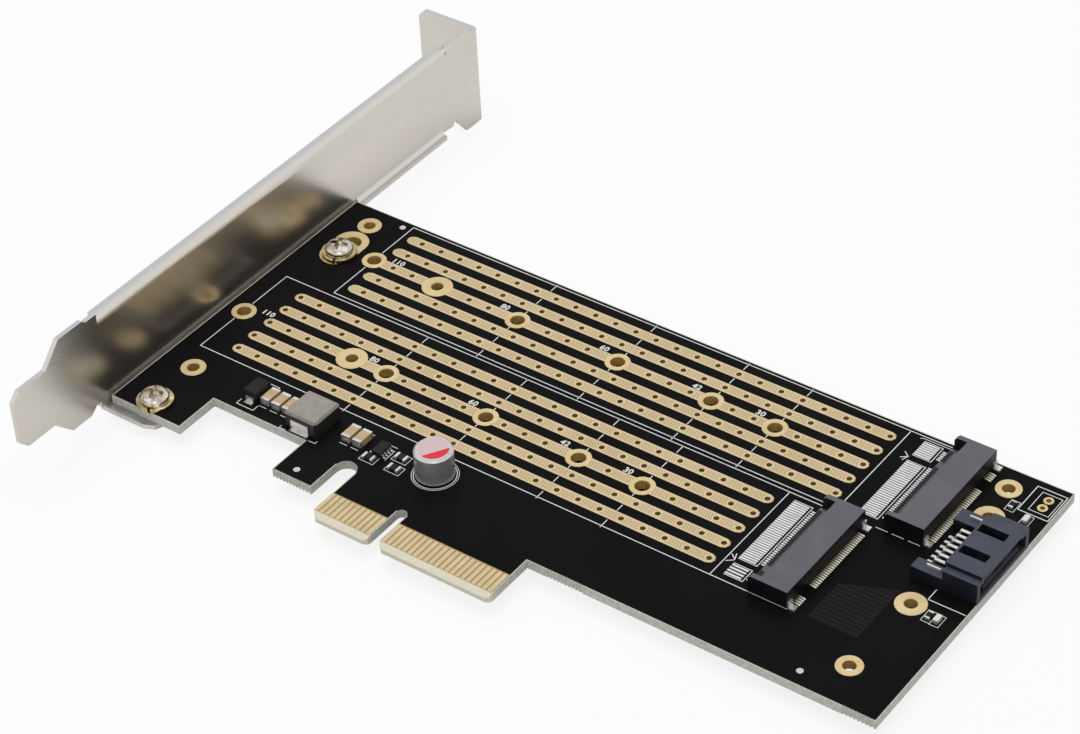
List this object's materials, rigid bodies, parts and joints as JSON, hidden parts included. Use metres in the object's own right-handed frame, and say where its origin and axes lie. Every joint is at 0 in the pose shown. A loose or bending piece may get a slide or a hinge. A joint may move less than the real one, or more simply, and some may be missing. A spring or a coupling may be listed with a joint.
{
  "type": "nvme adapter card",
  "caption": "Expansion card with an edge connector and a folded end bracket that carries two M.2 drives; black board, gold cooling strips, sockets at the far end.",
  "frame": {"origin": "centre line of the edge connector's key notch, at the connector's lower edge, on the board's component face", "axes": "+X along the card, away from the bracket; +Y across the card, away from the edge connector; +Z out of the component face"},
  "size_m": [0.1528, 0.12, 0.0209],
  "materials": {
    "solder_mask": "satin black lacquer over glass laminate",
    "gold_plate": "thin satin gold plate",
    "nickel_sheet": "satin nickel plate",
    "nickel_screw": "bright nickel plate",
    "socket_plastic": "fine matt moulding",
    "data_socket_plastic": "fine matt moulding",
    "tinned_contact": "tinned",
    "bright_solder": "bright tin",
    "can_aluminium": "bright drawn",
    "black_plastic": "matt moulding",
    "ferrite_grey": "matt pressed powder",
    "ceramic_tan": "fired ceramic",
    "lamp_resin": "clear resin"
  },
  "bodies": {
    "root": {"circuit_board": "solder_mask", "copper_strips_m": "gold_plate", "copper_strips_b": "gold_plate", "tooling_rings": "gold_plate", "header_rings": "gold_plate", "fiducial_dots": "gold_plate", "oval_screw_ring": "gold_plate", "edge_contacts_top": "gold_plate", "edge_contacts_back": "gold_plate", "mounting_bracket": "nickel_sheet", "bracket_screws": "nickel_screw", "spring_washers": "nickel_screw", "m_key_socket_housing": "socket_plastic", "b_key_socket_housing": "socket_plastic", "m_key_rear_contacts": "tinned_contact", "m_key_front_contacts": "tinned_contact", "b_key_rear_contacts": "tinned_contact", "b_key_front_contacts": "tinned_contact", "m_key_hold_downs": "bright_solder", "b_key_hold_downs": "bright_solder", "sata_socket_housing": "data_socket_plastic", "sata_contacts": "bright_solder", "sata_pegs": "bright_solder", "capacitor_can": "can_aluminium", "capacitor_bung": "black_plastic", "capacitor_leads": "bright_solder", "choke_core": "ferrite_grey", "choke_terminals": "bright_solder", "diode_body": "black_plastic", "diode_leads": "bright_solder", "ceramic_capacitors": "ceramic_tan", "ceramic_capacitor_ends": "bright_solder", "chip_resistors": "black_plastic", "chip_resistor_ends": "bright_solder", "indicator_lamps": "lamp_resin", "indicator_lamp_ends": "bright_solder", "regulator_body": "black_plastic", "regulator_leads": "bright_solder"}
  },
  "joints": []
}
